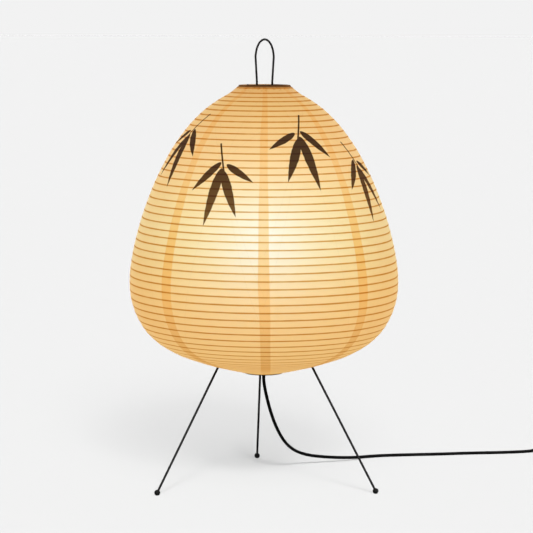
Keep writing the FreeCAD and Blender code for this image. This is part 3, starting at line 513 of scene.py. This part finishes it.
# %% Draw the laps
LAP_TONE = (0.975, 0.765, 0.46, 1.0)
LAP_TONE_LOW = (0.88, 0.74, 0.54, 1.0)
LAP_TONE_HEIGHTS = (0.30, 0.14)
LAP_HALF = [
    (0.0, 0.44), (0.06, 0.46), (0.15, 0.46), (0.25, 0.505), (0.36, 0.535), (0.48, 0.485), (0.60, 0.465),
    (0.725, 0.37), (0.84, 0.36), (0.93, 0.25), (1.0, 0.22),
]
LAP_STRONG = [
    (0.0, 0.3), (0.02, 0.5), (0.045, 0.9), (0.15, 0.74), (0.25, 0.66), (0.345, 0.80), (0.46, 0.95),
    (0.60, 0.76), (0.725, 0.52), (0.84, 0.54), (0.93, 0.52), (1.0, 0.35),
]
LAP_DRIFT = [
    (0.0, 0.68), (0.06, 0.66), (0.15, 0.61), (0.25, 0.55), (0.36, 0.44), (0.48, 0.42), (0.60, 0.41),
    (0.725, 0.41), (0.84, 0.44), (0.93, 0.53), (1.0, 0.53),
]
LAP_UNIT = 0.01
LAP_SOFT = 0.0006
FRONT_LAP = 8
OTHERS_WIDER, OTHERS_DRIFT = 0.17, 0.001


def by_height(values):
    # a number that changes with the height on the shade
    return f.ramp(height_share, [(at, (value, value, value)) for at, value in values])


# the lap in front is a little narrower than the others
lap_number = f.sum("ROUND", panels_round)
other = f.sum("SUBTRACT", 1.0, f.sum("COMPARE", lap_number, FRONT_LAP, 0.5))
lap_unit = f.sum("MULTIPLY_ADD", other, OTHERS_WIDER * LAP_UNIT, LAP_UNIT)
lap_half = f.sum("MULTIPLY", by_height(LAP_HALF), lap_unit)
drift = f.sum("MULTIPLY", f.sum("SUBTRACT", by_height(LAP_DRIFT), 0.5), LAP_UNIT)
drift = f.sum("MULTIPLY_ADD", other, OTHERS_DRIFT, drift)
past_lap = f.sum("MULTIPLY", f.sum("SUBTRACT", panels_round, lap_number), PANEL_TURN)
from_lap = f.sum("ABSOLUTE", f.sum("SUBTRACT", f.sum("MULTIPLY", past_lap, radius), drift))
lap_in = f.sum("SUBTRACT", lap_half, LAP_SOFT)
lap_out = f.sum("ADD", lap_half, LAP_SOFT)
lap_share = f.sum("SUBTRACT", 1.0, f.step(from_lap, lap_in, lap_out))
lap_share = f.sum("MULTIPLY", lap_share, by_height(LAP_STRONG))
lap_tone = f.mix(f.step(height_share, *LAP_TONE_HEIGHTS), LAP_TONE, LAP_TONE_LOW)
lap_colour = f.mix(lap_share, WHITE, lap_tone)
print("nodes with laps:", len(f.tree.nodes))

# %% Lay the fibres
LAID_LINES, LAID_SHARE = (14.0, 700.0, 3.0), 0.14
CLOUDS, CLOUD_DETAIL, CLOUD_SHARE = (45.0, 90.0, 5.0), 4.0, 0.10
FIBRE_BASE = 0.90
FIBRE_TONE = (0.90, 0.84, 0.74, 1.0)

laid = f.noise(f.stretch(sheet_place, LAID_LINES), 1.0)
cloud = f.noise(f.stretch(sheet_place, CLOUDS), 1.0, CLOUD_DETAIL)
clouded = f.sum("MULTIPLY_ADD", cloud, CLOUD_SHARE, FIBRE_BASE)
fibre = f.sum("MULTIPLY_ADD", laid, LAID_SHARE, clouded)
fibre_colour = f.mix(fibre, FIBRE_TONE, WHITE)
print("nodes with fibres:", len(f.tree.nodes))

# %% [markdown]
# ## Edges of the paper
# Round the top ring the paper is folded over the wire. The wire's shadow is painted dark on the fold, the
# inside of the hem is painted in shade but for a bright stretch at the back, and just below, creases get
# painted shade. The lower edge is glued round a smaller ring, and that ring's shadow is painted on it too.
# All of it is read from the kept length down from the ring, which is below zero on the hem.

# %% Paint shade at the edges
RIM_SHADE_TONE = (0.22, 0.155, 0.08, 1.0)
CREASE_SHADE_TONE = (0.82, 0.68, 0.50, 1.0)
LOW_EDGE_SHADE_TONE = (0.52, 0.40, 0.26, 1.0)
OUTSIDE_WIRE, INSIDE_WIRE = (0.0015, 0.0008), (-0.0024, -0.0016)
INSIDE_HEM = (-0.0016, -0.0024)
BRIGHT_TURN, BRIGHT_SPREAD = math.radians(112), (0.82, 0.70)
CREASES_ROUND, CREASES_DOWN, CREASE_SCALE, CREASE_DETAIL = 5.0, 260.0, 1.6, 3.0
CREASE_CUT, CREASE_REACH = (0.48, 0.72), (0.010, 0.002)
LOW_EDGE = (PAPER_LONG - 0.0016, PAPER_LONG - 0.0007)

# painted shadow of the wire ring on the fold, and painted shade on the inner hem except a bright stretch at
# the back
wire_shadow = f.sum("MULTIPLY", f.step(down, *OUTSIDE_WIRE), f.step(down, *INSIDE_WIRE))
bright_y = f.sum("MULTIPLY", y, math.sin(BRIGHT_TURN))
bright = f.sum("ADD", f.sum("MULTIPLY", x, math.cos(BRIGHT_TURN)), bright_y)
not_bright = f.step(f.sum("DIVIDE", bright, radius), *BRIGHT_SPREAD)
hem_inside_shade = f.sum("MULTIPLY", f.step(down, *INSIDE_HEM), not_bright)
rim_shade_colour = f.mix(f.sum("MAXIMUM", wire_shadow, hem_inside_shade), WHITE, RIM_SHADE_TONE)
# painted shade in the creases just below the hem
crease_x = f.sum("MULTIPLY", angle, CREASES_ROUND)
crease_y = f.sum("MULTIPLY", down, CREASES_DOWN)
crease_place = f.add("CombineXYZ", {0: crease_x, 1: crease_y}).outputs[0]
folds = f.noise(crease_place, CREASE_SCALE, CREASE_DETAIL)
crease_shade = f.sum("MULTIPLY", f.step(folds, *CREASE_CUT), f.step(down, *CREASE_REACH))
edge_shade_colour = f.times(rim_shade_colour, f.mix(crease_shade, WHITE, CREASE_SHADE_TONE))
# painted shadow of the lower ring along the paper's lowest edge
edge_shade_colour = f.times(edge_shade_colour, f.mix(f.step(down, *LOW_EDGE), WHITE, LOW_EDGE_SHADE_TONE))
print("nodes with edges:", len(f.tree.nodes))

# %% [markdown]
# ## Brushed leaves
# The shoulder carries a row of sprigs in dark brown ink, a plain leaf pattern. A leaf is a small sum: turn
# and shift the paper's coordinates so that the leaf lies along one axis, then ask whether the point is
# nearer to that axis than the leaf is wide there. Every second sprig hangs lower and faces the other way,
# which needs no second drawing: its coordinates are flipped and shifted.

# %% Shape of a leaf
# each leaf: its foot across and down the paper, its lean in degrees, its length and half its width
LEAVES = [
    (0.002, 0.072, -24.0, 0.050, 0.0056),
    (0.003, 0.070, 10.0, 0.058, 0.0062),
    (0.005, 0.064, 42.0, 0.040, 0.0048),
    (-0.001, 0.066, -58.0, 0.034, 0.0042),
]
STEM = (0.010, 0.044, -18.0, 0.032, 0.0009)
SPRIG_DROP = 0.034
LEAF_BLUNT, LEAF_FULL = 0.55, 2.15
WOBBLE, WOBBLE_SHARE, WOBBLE_BASE = (160.0, 160.0, 1.0), 0.3, 0.85
STROKE_EDGE = (-0.00012, 0.00022)

odd = f.sum("MODULO", panel_number, 2.0)
mirrored = f.sum("MULTIPLY", across, f.sum("MULTIPLY_ADD", odd, -2.0, 1.0))
lowered = f.sum("SUBTRACT", down, f.sum("MULTIPLY", odd, SPRIG_DROP))
wobble = f.noise(f.stretch(sheet_place, WOBBLE), 1.0)
wobble = f.sum("MULTIPLY_ADD", wobble, WOBBLE_SHARE, WOBBLE_BASE)


def brushed(leaf, belly):
    # 1 inside the stroke, 0 outside it
    foot_across, foot_down, lean, long, half_wide = leaf
    side = f.sum("SUBTRACT", mirrored, foot_across)
    fall = f.sum("SUBTRACT", lowered, foot_down)
    c, s = math.cos(math.radians(lean)), math.sin(math.radians(lean))
    along = f.sum("MULTIPLY_ADD", side, s / long, f.sum("MULTIPLY", fall, c / long))
    off = f.sum("ABSOLUTE", f.sum("MULTIPLY_ADD", side, c, f.sum("MULTIPLY", fall, -s)))
    share = f.add("Clamp", {0: along}).outputs[0]
    left = f.sum("SUBTRACT", 1.0, share)
    if belly:
        width = f.sum("MULTIPLY", f.sum("POWER", share, LEAF_BLUNT), left)
        width = f.sum("MULTIPLY", width, half_wide * LEAF_FULL)
    else:
        width = f.sum("GREATER_THAN", f.sum("MULTIPLY", share, left), 0.0)
        width = f.sum("MULTIPLY", width, half_wide)
    width = f.sum("MULTIPLY", width, wobble)
    return f.step(f.sum("SUBTRACT", width, off), *STROKE_EDGE)


painted = brushed(STEM, False)
for leaf in LEAVES:
    painted = f.sum("MAXIMUM", painted, brushed(leaf, True))
print("leaves in a sprig:", len(LEAVES))

# %% Ink
# painted light: the ink is darker high up and paler lower down, where more of the bulb's light comes through
# it
INK_DIM_HIGH, INK_LIT_LOW = (0.055, 0.036, 0.020, 1.0), (0.20, 0.115, 0.045, 1.0)
INK_HEIGHTS = (0.33, 0.25)
INK_GRAIN, GRAIN_SHARE, GRAIN_TONE = (900.0, 900.0, 1.0), 0.35, (0.12, 0.07, 0.03, 1.0)

ink_tone_and_light = f.mix(f.step(z, *INK_HEIGHTS), INK_DIM_HIGH, INK_LIT_LOW)
grain = f.noise(f.stretch(sheet_place, INK_GRAIN), 1.0)
ink_tone_and_light = f.mix(f.sum("MULTIPLY", grain, GRAIN_SHARE), ink_tone_and_light, GRAIN_TONE)
ink_colour = f.mix(painted, WHITE, ink_tone_and_light)
print("nodes with leaves:", len(f.tree.nodes))

# %% [markdown]
# ## Light from the paper
# The glow is a ramp up the shade: palest at the height of the bulb, deeper towards both rings. Two
# refractions let the bulb through. One bends a lot and spreads its light wide, the other bends little and
# leaves a narrow bluish core, which whitens the amber in the middle of the spot.

# %% Paper shader
GLOW = [
    (0.00, (0.90, 0.474, 0.125)), (0.10, (0.920, 0.506, 0.139)), (0.20, (0.925, 0.500, 0.147)),
    (0.32, (0.920, 0.516, 0.155)), (0.44, (0.905, 0.578, 0.208)), (0.53, (0.915, 0.620, 0.250)),
    (0.63, (0.935, 0.602, 0.226)), (0.75, (0.960, 0.560, 0.204)), (0.86, (0.935, 0.535, 0.187)),
    (0.95, (0.855, 0.486, 0.149)), (0.985, (0.80, 0.407, 0.118)), (1.00, (0.715, 0.359, 0.099)),
]
GLOW_STRENGTH = 1.075
PAPER_COLOUR = (0.08, 0.050, 0.020, 1.0)
WIDE_SHARE, WIDE_TINT, WIDE_BEND = 0.218, (0.48, 0.93, 1.0, 1.0), 3.2
NARROW_SHARE, NARROW_TINT, NARROW_BEND = 0.066, (0.02, 0.27, 1.0, 1.0), 1.45
FIBRE_RELIEF, RELIEF_DEEP, RELIEF_STRONG = 0.4, 0.0002, 0.6

# the paper's laps, fibres and ink, with the painted shadows of the rings, creases and hoops
marks_and_edge_shade = f.times(f.times(lap_colour, fibre_colour), ink_colour)
marks_and_edge_shade = f.times(marks_and_edge_shade, edge_shade_colour)
marks_and_shade = f.times(marks_and_edge_shade, hoop_shadow_colour)
marks_and_shade_through = f.times(marks_and_edge_shade, hoop_shadow_through)
relief = f.sum("ADD", f.sum("MULTIPLY", fibre, FIBRE_RELIEF), hoop_share)
skin = f.add("BsdfPrincipled", {
    "Base Color": f.times(PAPER_COLOUR, marks_and_shade), "Roughness": 0.8, "Specular IOR Level": 0.2,
    "Emission Color": f.times(f.ramp(height_share, GLOW), marks_and_shade), "Emission Strength": GLOW_STRENGTH,
    "Normal": f.bump(relief, RELIEF_DEEP, RELIEF_STRONG),
})


def shine_through(share, tint, bend, rest):
    sockets = {"Color": f.times(tint, marks_and_shade_through), "Roughness": 1.0, "IOR": bend}
    through = f.add("BsdfRefraction", sockets)
    return f.add("MixShader", {0: share, 1: rest.outputs[0], 2: through.outputs[0]})


lit_paper = shine_through(WIDE_SHARE, WIDE_TINT, WIDE_BEND, skin)
lit_paper = shine_through(NARROW_SHARE, NARROW_TINT, NARROW_BEND, lit_paper)
f.show(lit_paper)
paper.data.materials.append(f.mat)
print("paper nodes:", len(f.tree.nodes))

# %% [markdown]
# ## Wire, rubber, plastic and metal
# The other pieces keep their solids. Each finish has a colour that drifts a little, a roughness that drifts
# with it and a fine relief, because a surface of one even colour looks like a drawing. A satin black wire
# and a moulded plastic differ mostly in how large and how deep that relief is, so one recipe makes them all.

# %% Recipe for hard and soft surfaces
PATCH_SIZE, PATCH_DETAIL, PATCH_ROUGH = 0.12, 3.0, 0.1
FINE_ROUGH = 0.16
ROUGH_MIDDLE = (PATCH_ROUGH + FINE_ROUGH) / 2
RECIPE_RELIEF = 0.5


def plain_finish(name, colour, rough, drift=0.25, grain=900.0, relief=0.00002, metal=0.0, gloss=0.5):
    f = Finish(name)
    place = f.place()
    patches = f.noise(place, grain * PATCH_SIZE, PATCH_DETAIL)
    fine = f.noise(place, grain)
    dark = tuple(c * (1 - drift) for c in colour)
    light = tuple(min(1.0, c * (1 + drift)) for c in colour)
    tone = f.mix(patches, (*dark, 1.0), (*light, 1.0))
    roughness = f.sum("MULTIPLY_ADD", patches, PATCH_ROUGH, rough - ROUGH_MIDDLE)
    roughness = f.sum("MULTIPLY_ADD", fine, FINE_ROUGH, roughness)
    f.surface({
        "Base Color": tone, "Roughness": roughness, "Metallic": metal, "Specular IOR Level": gloss,
        "Normal": f.bump(fine, relief, RECIPE_RELIEF),
    })
    return f.mat


def black(level):
    return (level, level, level)


print("recipe ready")

# %% Finishes by slot
FINISHES = {
    "black_steel": plain_finish("black_lacquered_wire", black(0.004), 0.45, relief=0.00001, gloss=0.14),
    "foot_rubber": plain_finish("foot_rubber", black(0.004), 0.55, gloss=0.12),
    "cord_black": plain_finish("cord_jacket", black(0.0018), 0.55, gloss=0.06),
    "soft_black": plain_finish("soft_sleeve", black(0.008), 0.6, gloss=0.2),
    "holder_plastic": plain_finish("holder_plastic", black(0.030), 0.5),
    "carrier_ceramic": plain_finish("carrier_ceramic", (0.80, 0.79, 0.74), 0.6, drift=0.06),
    "brass": plain_finish("brass", (0.72, 0.53, 0.24), 0.3, drift=0.12, metal=1.0),
    "lead_sleeve": plain_finish("lead_sleeve", (0.30, 0.15, 0.07), 0.5),
    "cap_metal": plain_finish("cap_metal", (0.72, 0.72, 0.71), 0.32, drift=0.08, metal=1.0),
    "insulator_black": plain_finish("insulator_glass", black(0.02), 0.25),
    "tip_metal": plain_finish("tinned_tip", (0.66, 0.64, 0.60), 0.4, drift=0.1, metal=1.0),
    "case_plastic": plain_finish(
        "case_plastic", (0.010, 0.010, 0.0105), 0.55, grain=2600.0, relief=0.00006, gloss=0.25,
    ),
    "rocker_plastic": plain_finish("rocker_plastic", (0.014, 0.014, 0.0145), 0.4, gloss=0.3),
    "bright_steel": plain_finish("zinc_steel", (0.62, 0.62, 0.63), 0.34, drift=0.1, metal=1.0),
    "tie_plastic": plain_finish("tie_band", black(0.013), 0.5, gloss=0.25),
}
print("finishes:", len(FINISHES))

# %% [markdown]
# ## Bamboo and the lit bulb
# Two finishes need more than the recipe. Split bamboo has long fibres, so its noise is stretched thin from
# top to bottom. The bulb is opal glass with the light inside it: a pale glow with a faint haze.

# %% Bamboo and opal glass
BAMBOO_FIBRES, BAMBOO_DETAIL, BAMBOO_RELIEF = (60.0, 60.0, 900.0), 4.0, 0.00005
BAMBOO_TONES = [(0.3, (0.42, 0.26, 0.11)), (0.7, (0.66, 0.47, 0.24))]
f = Finish("split_bamboo")
fibres = f.noise(f.stretch(f.place(), BAMBOO_FIBRES), 1.0, BAMBOO_DETAIL)
f.surface({
    "Base Color": f.ramp(fibres, BAMBOO_TONES), "Roughness": 0.6,
    "Normal": f.bump(fibres, BAMBOO_RELIEF, RECIPE_RELIEF),
})
FINISHES["bamboo"] = f.mat

BULB_LIGHT = 16.0
BULB_HAZE = 60.0
GLASS_TONES = (0.90, 0.88, 0.82, 1.0), (0.96, 0.94, 0.90, 1.0)
GLASS_LIGHTS = (1.0, 0.90, 0.72, 1.0), (1.0, 0.93, 0.78, 1.0)
f = Finish("opal_glass_lit")
haze = f.noise(f.place(), BULB_HAZE)
f.surface({
    "Base Color": f.mix(haze, *GLASS_TONES), "Roughness": 0.3,
    "Emission Color": f.mix(haze, *GLASS_LIGHTS), "Emission Strength": BULB_LIGHT,
})
FINISHES["opal_glass"] = f.mat
print("finishes:", len(FINISHES))

# %% Dress the solids
dressed = 0
for row in frame["record"]["subparts"]:
    if row["material_slot"] in FINISHES:
        thing = nodes[row["node"]]
        thing.data.materials.clear()
        thing.data.materials.append(FINISHES[row["material_slot"]])
        dressed += 1
cord.data.materials.append(FINISHES["cord_black"])
# each hoop's shadow is already painted on the paper, so light that comes through the paper passes the solid
# ones
for name in HOOP_NODES:
    nodes[name].visible_transmission = False
print("dressed:", dressed)

# %% [markdown]
# ## Floor and light
# The picture has a pale floor that melts into the background, and a soft shadow that falls back and to the
# left. A floor in a white surround shows its own colour, so its colour is the background's. To the eye only a
# quarter of it is a lit surface and the rest gives a little plain light, which keeps the shadows faint. Three
# soft suns from the front light the lamp and the floor. The cord, the legs and the lampholder also draw
# shadows of their own there, as if light came through the paper. A true model of that is slow to render, so
# three more suns stand in for it: they light the floor alone, and only those pieces stop them.

# %% Floor
PALE = 0.888
PALE_TONE = (PALE, PALE, PALE, 1.0)
FLOOR_HALF = 40.0
# plain light and lit floor together come to the floor's own colour where nothing shades it
FLOOR_OWN_LIGHT = 0.75
FLOOR_OWN_STRENGTH = 0.097

mesh = bmesh.new()
bmesh.ops.create_grid(mesh, x_segments=1, y_segments=1, size=FLOOR_HALF)
data = bpy.data.meshes.new("floor")
mesh.to_mesh(data)
mesh.free()
floor = bpy.data.objects.new("floor", data)
scene.collection.objects.link(floor)
f = Finish("pale_floor")
lit = f.surface({"Base Color": PALE_TONE, "Roughness": 1.0, "Specular IOR Level": 0.0})
plain = f.add("Emission", {"Color": PALE_TONE, "Strength": FLOOR_OWN_STRENGTH})
path = f.add("LightPath", {})
seen = f.sum("MAXIMUM", path.outputs["Is Camera Ray"], path.outputs["Is Glossy Ray"])
seen = f.sum("MAXIMUM", seen, path.outputs["Is Transmission Ray"])
own_share = f.sum("MULTIPLY", seen, FLOOR_OWN_LIGHT)
f.show(f.add("MixShader", {0: own_share, 1: lit.outputs[0], 2: plain.outputs[0]}))
floor.data.materials.append(f.mat)

# the paper's glow stays off the floor, as in the picture
unlit = bpy.data.collections.new("off_the_glow")
unlit.objects.link(floor)
unlit.collection_objects[0].light_linking.link_state = "EXCLUDE"
paper.light_linking.receiver_collection = unlit
print("floor %.0f m wide" % (2 * FLOOR_HALF))

# %% Suns
# each sun: its light on a level floor, where 1 shows a colour as it is written, then its rise, its turn and
# its width in degrees
SUNS = [
    ("low_key", 0.324, 32, 5, 20),
    ("high_key", 0.183, 45, 5, 34),
    ("small_key", 0.105, 40, 10, 8),
]
CORD_PIECES = [cord] + [nodes[name] for name in on_the_cord]
LEG_PIECES = [nodes[name] for name in nodes if name.startswith(("leg_f", "leg_r", "foot_"))]
HOLDER_NAMES = ("lampholder_body", "lampholder_cap", "clamp_ring", "leg_hub", "bulb_glass")
HOLDER_PIECES = [nodes[name] for name in HOLDER_NAMES]
FLOOR_SUNS = [
    ("cord_key", 1.2, 36, 4, 7, CORD_PIECES),
    ("leg_key", 0.75, 53, 8.6, 8, LEG_PIECES),
    ("holder_key", 0.95, 58, 4, 24, HOLDER_PIECES),
]


def add_sun(name, amount, rise, side, wide):
    sun_data = bpy.data.lights.new(name, "SUN")
    sun_data.angle = math.radians(wide)
    sun_data.energy = amount * math.pi / math.sin(math.radians(rise))
    sun = bpy.data.objects.new(name, sun_data)
    sun.rotation_euler = (math.radians(90 - rise), 0.0, math.radians(side))
    scene.collection.objects.link(sun)
    return sun


def only(name, things):
    group = bpy.data.collections.new(name)
    for thing in things:
        group.objects.link(thing)
    return group


for sun_values in SUNS:
    add_sun(*sun_values)
for *sun_values, blockers in FLOOR_SUNS:
    sun = add_sun(*sun_values)
    sun.data.cycles.max_bounces = 0
    sun.light_linking.receiver_collection = only(sun.name + "_lights", [floor])
    sun.light_linking.blocker_collection = only(sun.name + "_shadows", blockers)
print("suns:", len(SUNS), "and for the floor:", len(FLOOR_SUNS))

# %% Surround
DOME = 0.20

world = bpy.data.worlds.new("surround")
world.use_nodes = True
scene.world = world
tree = world.node_tree
back = tree.nodes["Background"]
path = tree.nodes.new("ShaderNodeLightPath")
seen = tree.nodes.new("ShaderNodeMath")
seen.operation = "MAXIMUM"
tree.links.new(path.outputs["Is Camera Ray"], seen.inputs[0])
tree.links.new(path.outputs["Is Glossy Ray"], seen.inputs[1])
level = tree.nodes.new("ShaderNodeMapRange")
level.inputs["To Min"].default_value = DOME
level.inputs["To Max"].default_value = PALE
tree.links.new(seen.outputs[0], level.inputs["Value"])
back.inputs["Color"].default_value = WHITE
tree.links.new(level.outputs[0], back.inputs["Strength"])
print("dome %.2f" % DOME)
